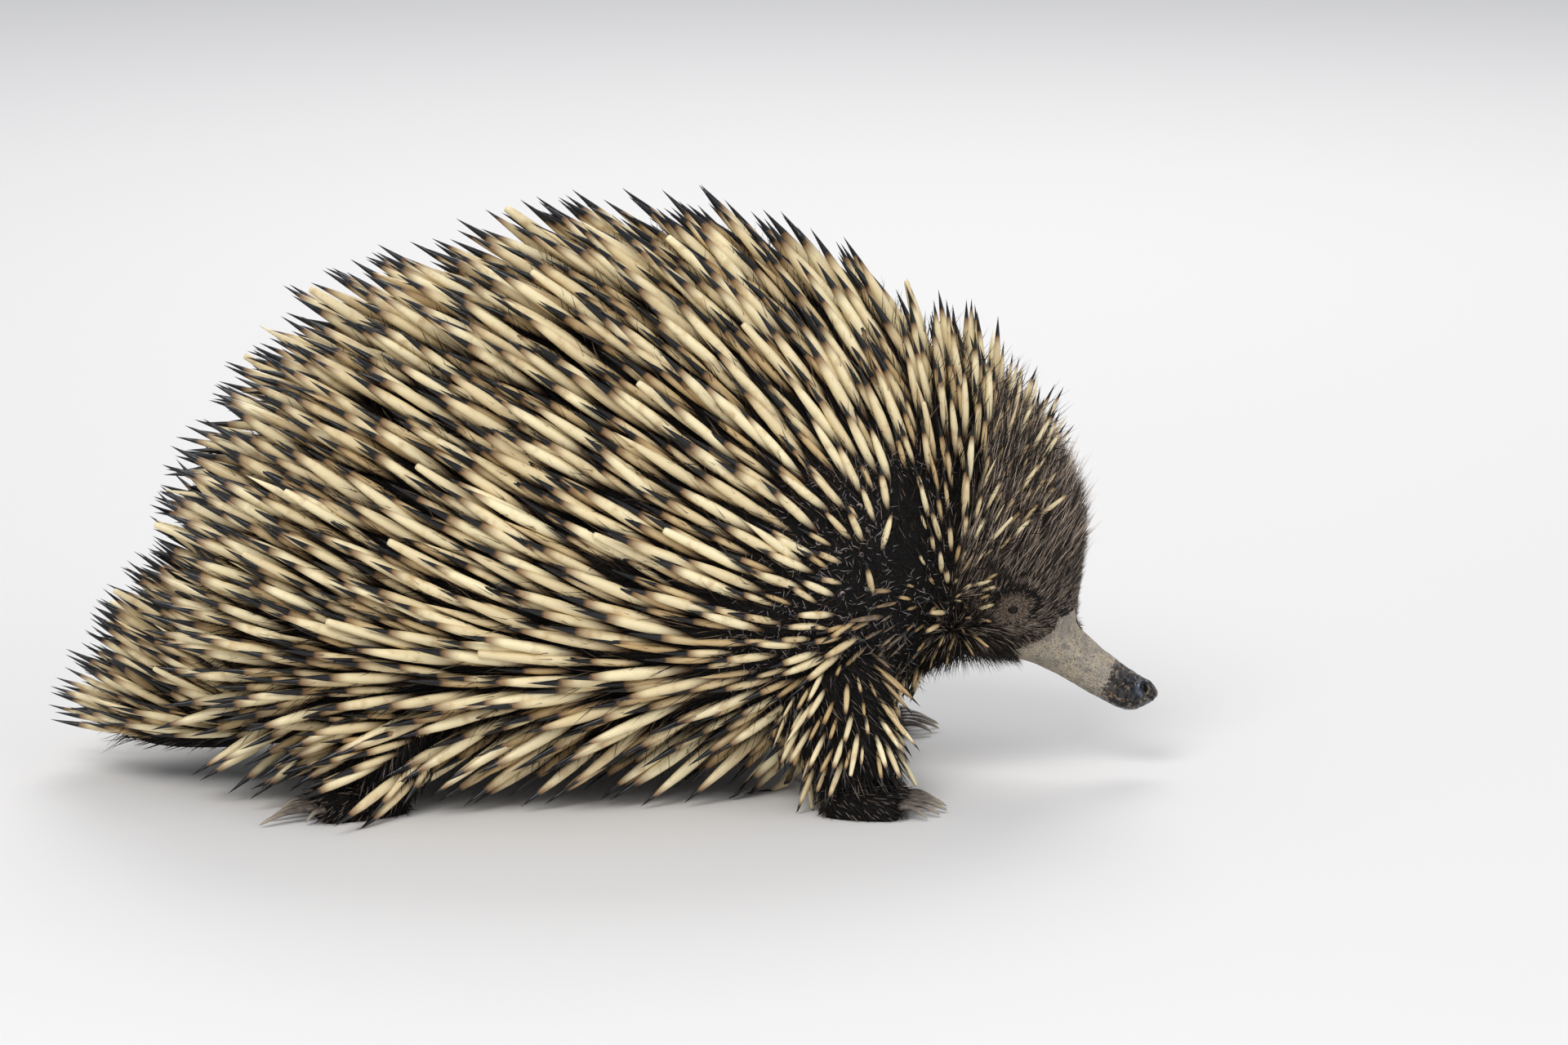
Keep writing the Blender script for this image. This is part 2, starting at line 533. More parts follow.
# The lids are pale on the crests of their folds and dark in the grooves.
crests = 0.25 + 0.75 * ease(0.45 + 0.9 * lid_relief(skin_points))
set_attribute(skin.data, "lids", crests * hump(np.maximum(from_eye - LID_PALE, 0), LID_FADE)
              * ease((from_eye - 0.0014) / 0.0010))
set_attribute(skin.data, "rim", hump(from_nostril - RIM_FAR, RIM_WIDE)
              * ease((NOSTRIL_X + 0.0008 - skin_points[:, 0]) / 0.0024))
set_attribute(skin.data, "pit", np.maximum(ease((NOSTRIL_PIT - from_nostril) / 0.0007),
                                           ease((EYE_PIT - from_eye) / 0.0004)))
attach(skin, "root")
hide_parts("rump", "torso", "neck", "head", "beak", "tail", "ear_left", "ear_right",
            "foreleg_left", "foreleg_right", "hindleg_left", "hindleg_right")

# Eyes
# Small wet black balls, 6 mm across, each set deep in its lids and seen through a round opening of
# 3.5 mm. A little brown shows in places under their shine.
EYE_RADIUS = 0.00305
EYE_BLACK, EYE_BROWN = (0.002, 0.0018, 0.0016), (0.007, 0.004, 0.0024)


def ball(centre, radius):
    """A sphere: the centre plus the radius times the cosines and sines of latitude and longitude."""
    def surface(s, t):
        return centre + radius * np.column_stack([np.cos(s) * np.cos(t), np.cos(s) * np.sin(t), np.sin(s)])
    return surface


def eye_material():
    """Wet black, a little brown in places."""
    material, tree, shader, where = new_material("eye")
    colour = mix(tree, between(tree, noise(tree, where, 900), 0.4, 0.7), EYE_BLACK, EYE_BROWN)
    finish(tree, shader, colour, 0.07, 0.25)
    return material


eye_finish = eye_material()
latitudes = np.linspace(-math.pi / 2, math.pi / 2, 25)
for name, side in SIDES:
    centre = (EYE_FRAME[0] - EYE_FRAME[3] * EYE_SUNK) * (1, side, 1)
    points, polygons = closed_tube(ball(centre, EYE_RADIUS), latitudes, AROUND_TUBE)
    eye = new_piece(f"eyeball_{name}", points, polygons, eye_finish)
    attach(eye, "root")
    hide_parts(f"eye_{name}")


# Claws
# Five on each foot: grey-brown horn, flattened, curved down and worn pale at the tip. The second
# claw of the hind foot is the long one that the animal combs its spines with.
CLAW_THICK, CLAW_SPLAY, CLAW_ROOT, CLAW_PITCH_SHARE, CLAW_WIDE_SHARE = 0.0019, 0.10, 0.0042, 0.34, 0.44
CLAW_ARCH, CLAW_FALL, CLAW_SUNK, CLAW_CLEAR = 0.0012, 0.0030, 0.0008, 0.0003
HORN_DARK, HORN_PALE, HORN_WORN = (0.055, 0.042, 0.034), (0.16, 0.125, 0.095), (0.36, 0.30, 0.23)


def claw(leg, side, index):
    """A flattened tube: its middle arches by a sine and falls by a square, and its width and height shrink
    along it."""
    heel, heading, across = paw_frame(leg, side)
    length, spread = leg["claws"][index], index - 2
    pitch = leg["width"] * CLAW_PITCH_SHARE
    root = heel + heading * (leg["length"] - CLAW_SUNK) + across * spread * pitch * side

    def surface(s, angle):
        blunt = np.sqrt(np.clip((1 - s) * 9, 0, 1))
        thick = CLAW_THICK * (1 - 0.62 * s) * blunt
        wide = pitch * CLAW_WIDE_SHARE * (1 - 0.72 * s**1.5) * blunt
        arch = CLAW_ROOT + CLAW_ARCH * np.sin(math.pi * s) - CLAW_FALL * s**2
        under = np.where(np.sin(angle) < 0, 0.7, 1)
        height = np.maximum(arch, thick + CLAW_CLEAR) + thick * np.sin(angle) * under
        sideways = spread * CLAW_SPLAY * side * s * length + wide * np.cos(angle)
        return root + heading * (s * length)[:, None] + across * sideways[:, None] + upward(height)
    return surface


def claw_material():
    """Grey-brown horn with streaks along it, paler where it is worn."""
    material, tree, shader, where = new_material("claw horn")
    drawn_out = add(tree, "Mapping", {"Vector": where, "Scale": (300, 1400, 1400)}).outputs[0]
    streaks = noise(tree, drawn_out, 1, 3)
    horn = mix(tree, between(tree, streaks, 0.35, 0.7), HORN_DARK, HORN_PALE)
    colour = mix(tree, between(tree, attribute(tree, "along"), 0.45, 1.0), horn, HORN_WORN)
    finish(tree, shader, colour, 0.42)
    roughen(tree, shader, streaks, 0.0002, 0.6)
    return material


claw_finish = claw_material()
claw_rows, around_claw = np.linspace(0, 1, 14), AROUND_TUBE[::3]
for limb_name, (leg, side) in LIMBS.items():
    for index in range(len(leg["claws"])):
        points, polygons = closed_tube(claw(leg, side, index), claw_rows, around_claw)
        horn = new_piece(f"horn_{limb_name}_{index + 1}", points, polygons, claw_finish)
        set_attribute(horn.data, "along", np.append(np.repeat(claw_rows[1:-1], len(around_claw)), (0, 1)))
        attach(horn, "root")
        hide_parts(f"claw_{limb_name}_{index + 1}")


# Spines
# Each is a single thick hair of horn: a brown foot, a cream shaft that is widest a little under half
# way, and a sharp black tip. They lie back over one another like shingles and fan out from a parting
# at each shoulder and each ear. A few of the largest are worn blunt and cream to the end.
# A parting is a short line from one point to another on the left side, and its mirror on the right.
SHOULDER_PARTING = np.array([(0.1015, 0.062, 0.1000), (0.0870, 0.072, 0.0640)])
EAR_PARTING = np.array([(0.1305, 0.039, 0.0730), (0.1350, 0.037, 0.0640)])
PARTING_REACH, SHORTEST_SHARE, SKIRT_HEIGHT, SKIRT_LIFT = 0.050, 0.42, 0.075, math.radians(28)
LEAST_LIFT, FLOW_LIFT, MOST_LIFT = math.radians(11), math.radians(13), math.radians(58)
PARTING_LIFT, PARTING_LIFT_REACH, LEAN_SHARE = math.radians(20), 0.03, 0.7
FLOOR_CLEAR, FLOOR_GAP, ROOT_SUNK, ON_SKIN = 0.004, 0.0004, 0.0008, 0.0010
CREASE_X, CREASE_LOW, CREASE_HIGH, CREASE_HALF = 0.1170, 0.086, 0.126, 0.0065
CREASE_TOP, CREASE_SHORTER = 0.139, 0.45
# Between the shoulder and the throat, between these heights, the spines are thin and dull brown, and
# half as dull under the ear.
DULL_X, DULL_REACH, DULL_FOOT, DULL_TOP, EAR_DULL_TOP = 0.1130, 0.013, 0.040, 0.090, 0.068
EAR_DULL, DULL_THINNER, DULL_BROWNER = 0.5, 0.35, 1.3
# How the spines of the body lie, in degrees above the level: high up, low down, and more over the shoulder.
HIGH_LIE, LOW_LIE, SHOULDER_LIE, LIE_Z, LIE_SPAN = 31, -36, 10, 0.040, 0.030
AWAY_SHARE, AWAY_REACH, STRAY, PARTING_STRAY, SPINE_BEND = 0.55, 0.075, 0.045, 0.5, 0.05
TAIL_FULL_X, TAIL_TAPER, TAIL_SHORTER = -0.140, 0.045, 0.32
LEG_WAY = (-0.30, 0, -1.0)
# The limits for a large spine and for a small one of its size and its lift, as shares of those of its
# place, of where along it the black begins, and of how pale it is.
DRAWS = {"size": ((0.95, 1.08), (0.62, 0.90)), "lift": ((0.95, 1.20), (0.75, 1.05)),
         "turn": ((0.70, 0.86), (0.58, 0.72)), "luck": ((0.45, 1.0), (0.0, 0.65))}
LARGE_SHARE, WORN_SHARE, CREAM_SHARE, PAST_TIP, RUMP_TURN = 0.42, 0.06, 0.03, 1.2, 0.055
# Of each length of the animal: the ground it grows on, its rows, the space between roots, the spine's length
# and its thickest radius.
SPINES = {
    "rump": ("trunk", (0.03, RUMP_CUT), 0.0055, 0.0420, 0.0019),
    "torso": ("trunk", (RUMP_CUT, NECK_BASE), 0.0060, 0.0480, 0.0022),
    "neck": ("trunk", (NECK_BASE, NECK_CUT), 0.0050, 0.0330, 0.0015),
    "head": ("trunk", (NECK_CUT, 12.6), 0.0044, 0.0230, 0.00085),
    "tail": ("tail", (0.6, 3.95), 0.0043, 0.0460, 0.0016),
    "foreleg_left": ("foreleg_left", (0, 2.3), 0.0046, 0.0220, 0.0011),
    "foreleg_right": ("foreleg_right", (0, 2.3), 0.0046, 0.0220, 0.0011),
    "hindleg_left": ("hindleg_left", (0, 2.5), 0.0058, 0.0400, 0.0019),
    "hindleg_right": ("hindleg_right", (0, 2.5), 0.0058, 0.0400, 0.0019),
}
# Along a spine: share of its length and of its thickest radius, for a sharp and for a worn one.
STEM = [(0, 0.50), (0.10, 0.70), (0.26, 0.96), (0.44, 1.0)]
SPINE_SHAPE = np.array(STEM + [(0.61, 0.85), (0.75, 0.59), (0.89, 0.26), (1, 0)])
WORN_SHAPE = np.array(STEM + [(0.62, 0.93), (0.80, 0.76), (0.89, 0.66), (0.915, 0.55), (0.92, 0)])
SPINE_TAN, SPINE_CREAM, SPINE_DULL = (0.56, 0.38, 0.17), (0.98, 0.85, 0.53), (0.17, 0.125, 0.085)
SPINE_STAIN, SPINE_FOOT, SPINE_BROWN = (0.56, 0.375, 0.17), (0.085, 0.045, 0.020), (0.24, 0.13, 0.055)
SPINE_BLACK = (0.0035, 0.0038, 0.0052)
PATCH, ROOT_ROWS, ROOT_TURNS = 0.003, 160, 120
# Every surface that carries hair, its last row, the turns round it, and its own ground on the coat's map.
GROUNDS = {"trunk": (skin_point, 18, -math.pi / 2, (0.01, 0.01, 0.64, 0.97)),
           "tail": (tail, 4, 0, (0.68, 0.01, 0.14, 0.30))}
for index, (limb_name, (leg, side)) in zip((1, 0, 3, 2), LIMBS.items()):
    corner = 0.67 + 0.08 * index
    GROUNDS[limb_name] = (limb(leg, side), 3, 0, (corner, 0.36, 0.07, 0.28))
    GROUNDS[f"paw_{limb_name}"] = (paw(leg, side), len(PAW_SHAPE) - 1, 0, (corner, 0.68, 0.07, 0.28))
hide_tree = BVHTree.FromObject(skin, bpy.context.evaluated_depsgraph_get())


def chosen(roots, keep):
    """The roots for which keep is true."""
    return tuple(values[keep] for values in roots)


def grown_on(ground, rows, spacing, rng, wanted, flow):
    """Roots spread evenly over a surface: a cell is drawn by its area, then a place in that cell, and a root
    drops the later ones that are too near, the nearer the shorter the coat is there. Only those are kept
    that are wanted and that lie on the skin, not inside it where a limb joins. Gives the points, their
    outward normals, their places on the surface's own unwrap, rows across and turns up, and the flow, the
    lift and the share of full length there."""
    surface, last, first_turn, island = GROUNDS[ground]
    s, t = np.linspace(*rows, ROOT_ROWS + 1), first_turn + np.linspace(0, 2 * math.pi, ROOT_TURNS + 1)
    grid = surface(*(axis.ravel() for axis in np.meshgrid(s, t, indexing="ij"))).reshape(len(s), len(t), 3)
    corner = grid[:-1, :-1]
    area = np.linalg.norm(np.cross(grid[1:, :-1] - corner, grid[:-1, 1:] - corner), axis=-1).ravel()
    count = int(5 * area.sum() / spacing**2)
    down, over = np.divmod(rng.choice(len(area), count, p=area / area.sum()), ROOT_TURNS)
    down, over = (down + rng.random(count)) / ROOT_ROWS, (over + rng.random(count)) / ROOT_TURNS
    s, t = rows[0] + down * (rows[1] - rows[0]), first_turn + over * 2 * math.pi
    points, normals = surface(s, t), outward(surface, s, t)
    normals = normals * np.sign(dot(normals, points - surface(s, t + math.pi)))
    place = np.column_stack([island[0] + island[2] * s / last, island[1] + island[3] * over])
    points, normals, place = chosen((points, normals, place), wanted(points, normals))
    roots = (points, normals, place, *flow(points, normals))
    roots = chosen(roots, well_spaced(points, spacing * roots[5]**0.25))
    off_skin = [hide_tree.find_nearest(point)[3] for point in roots[0].tolist()]
    return chosen(roots, np.array(off_skin, float) < ON_SKIN)


def well_spaced(points, spacing):
    """Which points stay when each, in turn, drops the later ones that are nearer than its own spacing."""
    tree = KDTree(len(points))
    for index, point in enumerate(points):
        tree.insert(point, index)
    tree.balance()
    stays = np.ones(len(points), bool)
    for index, (point, reach) in enumerate(zip(points.tolist(), spacing.tolist())):
        if stays[index]:
            near = [other for _, other, _ in tree.find_range(point, reach) if other > index]
            stays[near] = False
    return stays


def away_from(points, parting):
    """From the nearest point of the parting on the same side to the points. Near the middle line that point
    is drawn to the line."""
    start, line = parting[0], parting[1] - parting[0]
    along = np.clip(((to_left(points) - start) @ line) / (line @ line), 0, 1)
    nearest = start + along[:, None] * line
    nearest[:, 1] *= np.clip(points[:, 1] / 0.05, -1, 1)
    return points - nearest


def laid(flow, normals, lift):
    """Directions that follow a flow along the skin and stand up from the skin by an angle."""
    along = unit(flow - normals * dot(flow, normals))
    return along * np.cos(lift)[:, None] + normals * np.sin(lift)[:, None]


def body_lie(points, away):
    """On the body: backwards, at a lie that goes with the height by a hyperbolic tangent, steeper over the
    shoulder and flatter at the rump's end, and turned away from the parting, less the further it is."""
    x, z, far = points[:, 0], points[:, 2], np.linalg.norm(away, axis=1)
    lie = HIGH_LIE - (HIGH_LIE - LOW_LIE) * 0.5 * (1 - np.tanh((z - LIE_Z) / LIE_SPAN))
    lie = np.radians(lie * (0.45 + 0.55 * ease((x + 0.150) / 0.045))
                     + SHOULDER_LIE * ease((x + 0.02) / 0.12) * ease((z - 0.08) / 0.07))
    return unit(AWAY_SHARE * hump(far, AWAY_REACH)[:, None] * unit(away)
                + np.column_stack([-np.cos(lie), np.zeros(len(far)), np.sin(lie)]))


def head_lie(back):
    """On the neck and the head: away from the parting, backwards by so much, and down low on the throat."""
    def lie(points, away):
        drop = ease(1 - points[:, 2] / SKIRT_HEIGHT)
        return unit(0.65 * unit(away) + (-back, 0, 0) + upward(0.02 - 0.60 * drop))
    return lie


def flow_from(parting, lie, shortest=SHORTEST_SHARE):
    """A flow over the trunk that lies so about a parting. The lift grows where the flow leaves the skin, low
    down and at the parting. Also gives the share of its full length that the coat has there, which is less at
    the parting and between the shoulder and the neck."""
    def flow(points, normals):
        away = away_from(points, parting)
        far = np.linalg.norm(away, axis=1)
        way, drop = lie(points, away), ease(1 - points[:, 2] / SKIRT_HEIGHT)
        lean = np.arcsin(np.clip(dot(way, normals)[:, 0], -1, 1))
        lift = LEAN_SHARE * lean + FLOW_LIFT + SKIRT_LIFT * drop
        lift += PARTING_LIFT * np.clip(1 - far / PARTING_LIFT_REACH, 0, 1) ** 2
        crease = hump(points[:, 0] - CREASE_X, 2 * CREASE_HALF) * ease((CREASE_TOP - points[:, 2]) / 0.02)
        share = (shortest + (1 - shortest) * ease(far / PARTING_REACH)) * (1 - CREASE_SHORTER * crease)
        return way, np.clip(lift, LEAST_LIFT, MOST_LIFT), share
    return flow


def tail_flow(points, normals):
    """On the tail: backwards, rising by 31 degrees at its top and level under it, all nearly side by side,
    and shorter at its end."""
    rise = np.radians(2 + 29 * ease((points[:, 2] - 0.006) / 0.030))
    way = unit(np.column_stack([-np.cos(rise), 3.0 * points[:, 1], np.sin(rise)]))
    share = 1 - TAIL_SHORTER * ease((TAIL_FULL_X - points[:, 0]) / TAIL_TAPER)
    lift = np.arcsin(np.clip(dot(way, normals)[:, 0], -1, 1))
    return way, np.maximum(lift, math.radians(9)), share


def even_flow(way, lift=24):
    """The same way everywhere, with the same lift in degrees and at full length."""
    def flow(points, normals):
        return np.tile(way, (len(points), 1)), np.full(len(points), math.radians(lift)), np.ones(len(points))
    return flow


BODY_FLOW, NECK_BACK, HEAD_BACK, HEAD_SHORTEST = flow_from(SHOULDER_PARTING, body_lie), 0.14, 0.04, 0.55
FLOWS = {"rump": BODY_FLOW, "torso": BODY_FLOW, "hindleg_left": BODY_FLOW, "hindleg_right": BODY_FLOW,
         "neck": flow_from(EAR_PARTING, head_lie(NECK_BACK), HEAD_SHORTEST),
         "head": flow_from(EAR_PARTING, head_lie(HEAD_BACK), HEAD_SHORTEST), "tail": tail_flow}


def in_crease(points):
    """The narrow bare strip between the shoulder and the neck."""
    x, z = points[:, 0], points[:, 2]
    return (np.abs(x - CREASE_X) < CREASE_HALF) & (z > CREASE_LOW) & (z < CREASE_HIGH)


def is_spiny(name):
    """Where spines grow on a length of the animal: not on the belly, the throat, the face or the feet."""
    def wanted(points, normals):
        x, z, up = points[:, 0], points[:, 2], normals[:, 2]
        if name == "head":
            clear = np.linalg.norm(away_from(points, EAR_PARTING), axis=1) > 0.003
            low = (x < np.minimum(0.146, 0.138 + 0.9 * (z - 0.056))) & (z > 0.052)
            return clear & (low | (x < 0.168) & (z > 0.086 + 0.9 * (x - 0.146)))
        if name == "tail":
            return (x < -0.126) & (up > -0.75)
        if name == "neck":
            return z > 0.038
        return (z > 0.012) & (up > -0.84)
    return wanted


def strands(name, roots, ways, lengths, radii, bends, shape, sides, material, clear=FLOOR_CLEAR, **numbers):
    """Closed tapering strands as one mesh. A strand's middle is its root plus way times length times share,
    plus bend times share squared, and its way is tipped up where it would end less than clear above the
    floor. Its rings have the radii that shape gives, and its foot is sunk a little in the skin. Each strand
    has its patch on the map OFBake, and the named numbers, one for each strand, go to its points."""
    points, normals, place = roots[:3]
    count, share, wide, tops = len(points), shape[:-1, 0], shape[:-1, 1], shape[:, :1]
    ways = unit(ways + upward(np.maximum(0, clear - points[:, 2] - ways[:, 2] * lengths) / lengths))
    across = unit(np.cross(normals, ways) + 1e-9)
    over = np.cross(ways, across)
    middle = ((points - normals * ROOT_SUNK)[:, None] + (ways * lengths[:, None])[:, None] * tops
              + bends[:, None] * tops**2)
    k = np.arange(sides)
    angle = k[:, None] * 2 * math.pi / sides
    ring = across[:, None] * np.cos(angle) + over[:, None] * np.sin(angle)
    rings = middle[:, :-1, None] + ring[:, None] * (radii[:, None] * wide)[:, :, None, None]
    each = len(share) * sides + 1
    made = np.concatenate([rings.reshape(count, -1, 3), middle[:, -1:]], axis=1).reshape(-1, 3)
    made[:, 2] = np.maximum(made[:, 2], FLOOR_GAP)
    after = (k + 1) % sides
    walls = np.concatenate([np.column_stack([low + k, low + after, low + sides + after, low + sides + k])
                            for low in range(0, (len(share) - 1) * sides, sides)])
    last = (len(share) - 1) * sides
    ends = np.vstack([np.column_stack([last + k, last + after, np.full(sides, each - 1)]),
                      np.column_stack([np.zeros(sides - 2, int), k[2:], k[1:-1]])])
    first = (np.arange(count) * each)[:, None, None]
    polygons = [(faces + first).reshape(-1, faces.shape[1]) for faces in (walls, ends)]
    piece = new_piece(name, made, polygons, material)
    layer = piece.data.uv_layers.new(name="OFBake")
    on_ring = np.column_stack([np.tile(k / (sides - 1), len(share)), np.repeat(share, sides)])
    spot = np.vstack([on_ring, (0.5, 1.0)])
    corners = np.concatenate([faces.ravel() for faces in polygons])
    patch = place[corners // each] + PATCH * (spot[corners % each] - 0.5)
    layer.data.foreach_set("uv", patch.astype(np.float32).ravel())
    set_attribute(piece.data, "along", np.tile(np.append(np.repeat(share, sides), 1), count))
    for key, values in numbers.items():
        set_attribute(piece.data, key, np.repeat(values, each))
    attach(piece, "root")
    return piece


def spine_material():
    """Brown at the foot, cream along the shaft, and from its own place on blue-black, with fine streaks."""
    material, tree, shader, where = new_material("spine horn")
    along, luck, turn = (attribute(tree, name) for name in ("along", "luck", "turn"))
    past = maths(tree, "SUBTRACT", along, turn)
    ragged = times(tree, maths(tree, "SUBTRACT", noise(tree, where, 700, 2), 0.5), 0.06)
    cream = mix(tree, luck, SPINE_TAN, SPINE_CREAM)
    cream = mix(tree, between(tree, luck, 0.0, -0.5), cream, SPINE_DULL)
    cream = mix(tree, between(tree, noise(tree, where, 160, 3), 0.50, 0.85), cream, SPINE_STAIN)
    shaft = mix(tree, between(tree, along, 0.02, 0.34), SPINE_FOOT, cream)
    shaft = mix(tree, between(tree, past, -0.15, 0.01), shaft, SPINE_BROWN)
    colour = mix(tree, between(tree, maths(tree, "ADD", past, ragged), -0.02, 0.03), shaft, SPINE_BLACK)
    finish(tree, shader, colour, 0.30, 0.45)
    roughen(tree, shader, noise(tree, where, 1800, 3), 0.0002, 0.25)
    return material


def drawn(rng, large, what):
    """A number for each spine, between the limits of the large ones or of the small ones."""
    high, low = (rng.uniform(*limits, len(large)) for limits in DRAWS[what])
    return np.where(large, high, low)


spine_finish = spine_material()
for seed, (name, (ground, rows, spacing, length, radius)) in enumerate(SPINES.items()):
    rng = np.random.default_rng(20 + seed)
    roots = grown_on(ground, rows, spacing, rng, is_spiny(name), FLOWS.get(name, even_flow(LEG_WAY)))
    roots = chosen(roots, ~in_crease(roots[0]) & (rng.random(len(roots[0])) < ease((roots[5] - 0.25) / 0.32)))
    points, normals, place, flow, lift, share = roots
    count, x, z = len(points), points[:, 0], points[:, 2]
    dull = hump(x - DULL_X, DULL_REACH) * ease((DULL_TOP - z) / 0.02) * ease((z - DULL_FOOT) / 0.01)
    if name == "head":
        dull = EAR_DULL * ease((EAR_DULL_TOP - z) / 0.012)
    large = rng.random(count) < LARGE_SHARE
    size = drawn(rng, large, "size")
    lift = lift * drawn(rng, large, "lift")
    lengths = length * share * size
    radii = radius * size**1.2 * (0.42 + 0.58 * share) * (1 - DULL_THINNER * dull)
    stray = rng.normal(0, STRAY, (count, 3))
    stray = stray + rng.normal(0, PARTING_STRAY, (count, 3)) * (1 - share)[:, None] ** 3
    ways = laid(unit(flow) + stray, normals, lift)
    turn = drawn(rng, large, "turn") - RUMP_TURN * ease((-0.06 - x) / 0.06)
    worn = large & (rng.random(count) < WORN_SHARE)
    turn = np.where(worn | (rng.random(count) < CREAM_SHARE), PAST_TIP, turn)
    luck = drawn(rng, large, "luck") - DULL_BROWNER * dull
    bends = -normals * (lengths * SPINE_BEND)[:, None]
    for kind, keep, shape in (("spines", ~worn, SPINE_SHAPE), ("worn_spines", worn, WORN_SHAPE)):
        if keep.any():
            laid_out = chosen((ways, lengths, radii, bends), keep)
            spines = strands(f"{kind}_{name}", chosen(roots, keep), *laid_out, shape, 8, spine_finish,
                             luck=luck[keep], turn=turn[keep])


# Coarse hair
# Stiff black and brown hairs grow between the spines, lie with them and fill the dark gaps. About
# one in eight is pale towards its tip.
HAIR_SPACING, HAIR_LENGTH, HAIR_RADIUS, HAIR_BEND, HAIR_PALE = 0.00215, 0.0200, 0.00018, 0.0012, 0.12
HAIR_BLACK, HAIR_BROWN, HAIR_TIP = (0.005, 0.0045, 0.0045), (0.075, 0.042, 0.020), (0.22, 0.16, 0.105)
HAIR_SHAPE = np.array([(0, 0.8), (0.35, 1.0), (0.7, 0.7), (1, 0)])
FUR_SHAPE = np.array([(0, 0.9), (0.5, 1.0), (1, 0)])


def hair_material(name, dark, warm, pale):
    """Strands of a dark and a warm colour by luck, and as pale towards their tips as the mesh says."""
    material, tree, shader, _ = new_material(name)
    along, luck, paleness = (attribute(tree, key) for key in ("along", "luck", "pale"))
    base = mix(tree, between(tree, luck, 0.50, 1.0), dark, warm)
    colour = mix(tree, times(tree, paleness, between(tree, along, 0.0, 0.5)), base, pale)
    finish(tree, shader, colour, 0.50, 0.25)
    return material


def hairs(name, roots, rng, ways, lengths, radii, curl, shape, material, pale, clear=FLOOR_CLEAR):
    """Strands of three sides, each bent at random by its curl. Pale is a number for each of them, or a level
    and the share of them that has it."""
    count = len(lengths)
    bends, luck = rng.normal(0, 1, (count, 3)) * np.reshape(curl, (-1, 1)), rng.random(count)
    if isinstance(pale, tuple):
        pale = pale[0] * (rng.random(count) < pale[1])
    return strands(name, roots, ways, lengths, np.ones(count) * radii, bends, shape, 3, material, clear,
                   luck=luck, pale=pale)


coarse_finish = hair_material("coarse hair", HAIR_BLACK, HAIR_BROWN, HAIR_TIP)
for seed, name in enumerate(("rump", "torso", "neck", "head", "tail")):
    rng = np.random.default_rng(60 + seed)
    roots = grown_on(*SPINES[name][:2], HAIR_SPACING, rng, is_spiny(name), FLOWS[name])
    points, normals, place, flow, lift, share = roots
    count = len(points)
    lengths = HAIR_LENGTH * share * rng.uniform(0.5, 1.15, count)
    ways = laid(unit(flow) + rng.normal(0, 0.24, (count, 3)), normals, lift * rng.uniform(0.9, 2.4, count))
    hair = hairs(f"hair_{name}", roots, rng, ways, lengths, HAIR_RADIUS, HAIR_BEND, HAIR_SHAPE, coarse_finish,
                 (1.0, HAIR_PALE))


# Fuzz and follicles
# About the partings the spines are short and the hide shows between them. It is covered in short,
# curled fuzz, much of it grey, and dotted with the fleshy rings that spines have fallen out of.
FUZZ_REACH, FUZZ_SPACING, FUZZ_LENGTH, FUZZ_RADIUS = 0.042, 0.00105, 0.0046, 0.00016
FUZZ_CURL, FUZZ_PALE, EAR_SCALE = 0.25, 0.35, 0.62
FUZZ_BLACK, FUZZ_BROWN, FUZZ_GREY = (0.009, 0.008, 0.0075), (0.040, 0.034, 0.031), (0.36, 0.325, 0.31)
RING_BROWN, RING_PINK = (0.05, 0.038, 0.034), (0.40, 0.31, 0.29)
RING_SPACING, RING_HEIGHT, RING_RADIUS, RING_REACH = 0.0078, 0.0013, 0.00130, 0.022
RING_SHAPE = np.array([(0, 1.0), (0.75, 1.06), (1.0, 0.74), (0.6, 0.42), (0.3, 0)])


def near_parting(parting, reach):
    """Where the hide is nearer to a parting than a reach, outside the crease and the face."""
    def wanted(points, normals):
        far = np.linalg.norm(away_from(points, parting), axis=1)
        return (far < reach) & (points[:, 0] < 0.148) & ~in_crease(points)
    return wanted


fuzz_finish = hair_material("grey fuzz", FUZZ_BLACK, FUZZ_BROWN, FUZZ_GREY)
ring_finish = hair_material("follicle rings", RING_BROWN, RING_BROWN, RING_PINK)
for seed, (name, rows, parting, scale) in enumerate((("shoulder", (4.5, 8.6), SHOULDER_PARTING, 1.0),
                                                     ("ear", (8.6, 11.0), EAR_PARTING, EAR_SCALE))):
    rng = np.random.default_rng(140 + seed)
    roots = grown_on("trunk", rows, FUZZ_SPACING, rng, near_parting(parting, FUZZ_REACH * scale),
                     even_flow(LEG_WAY))
    count = len(roots[0])
    lengths = FUZZ_LENGTH * scale * rng.uniform(0.5, 1.2, count)
    ways = laid(rng.normal(0, 1, (count, 3)), roots[1], rng.uniform(0.1, 0.9, count))
    fuzz = hairs(f"fuzz_{name}", roots, rng, ways, lengths, FUZZ_RADIUS, FUZZ_CURL * lengths, FUR_SHAPE,
                 fuzz_finish, (1.0, FUZZ_PALE))
    roots = grown_on("trunk", rows, RING_SPACING * scale, rng, near_parting(parting, RING_REACH * scale),
                     even_flow(LEG_WAY))
    count = len(roots[0])
    rings = strands(f"rings_{name}", roots, unit(roots[1] + rng.normal(0, 0.30, (count, 3))),
                    RING_HEIGHT * scale * rng.uniform(0.6, 1.2, count),
                    RING_RADIUS * scale * rng.uniform(0.5, 1.1, count), np.zeros((count, 3)), RING_SHAPE, 8,
                    ring_finish, luck=rng.random(count), pale=rng.uniform(0.15, 0.85, count))


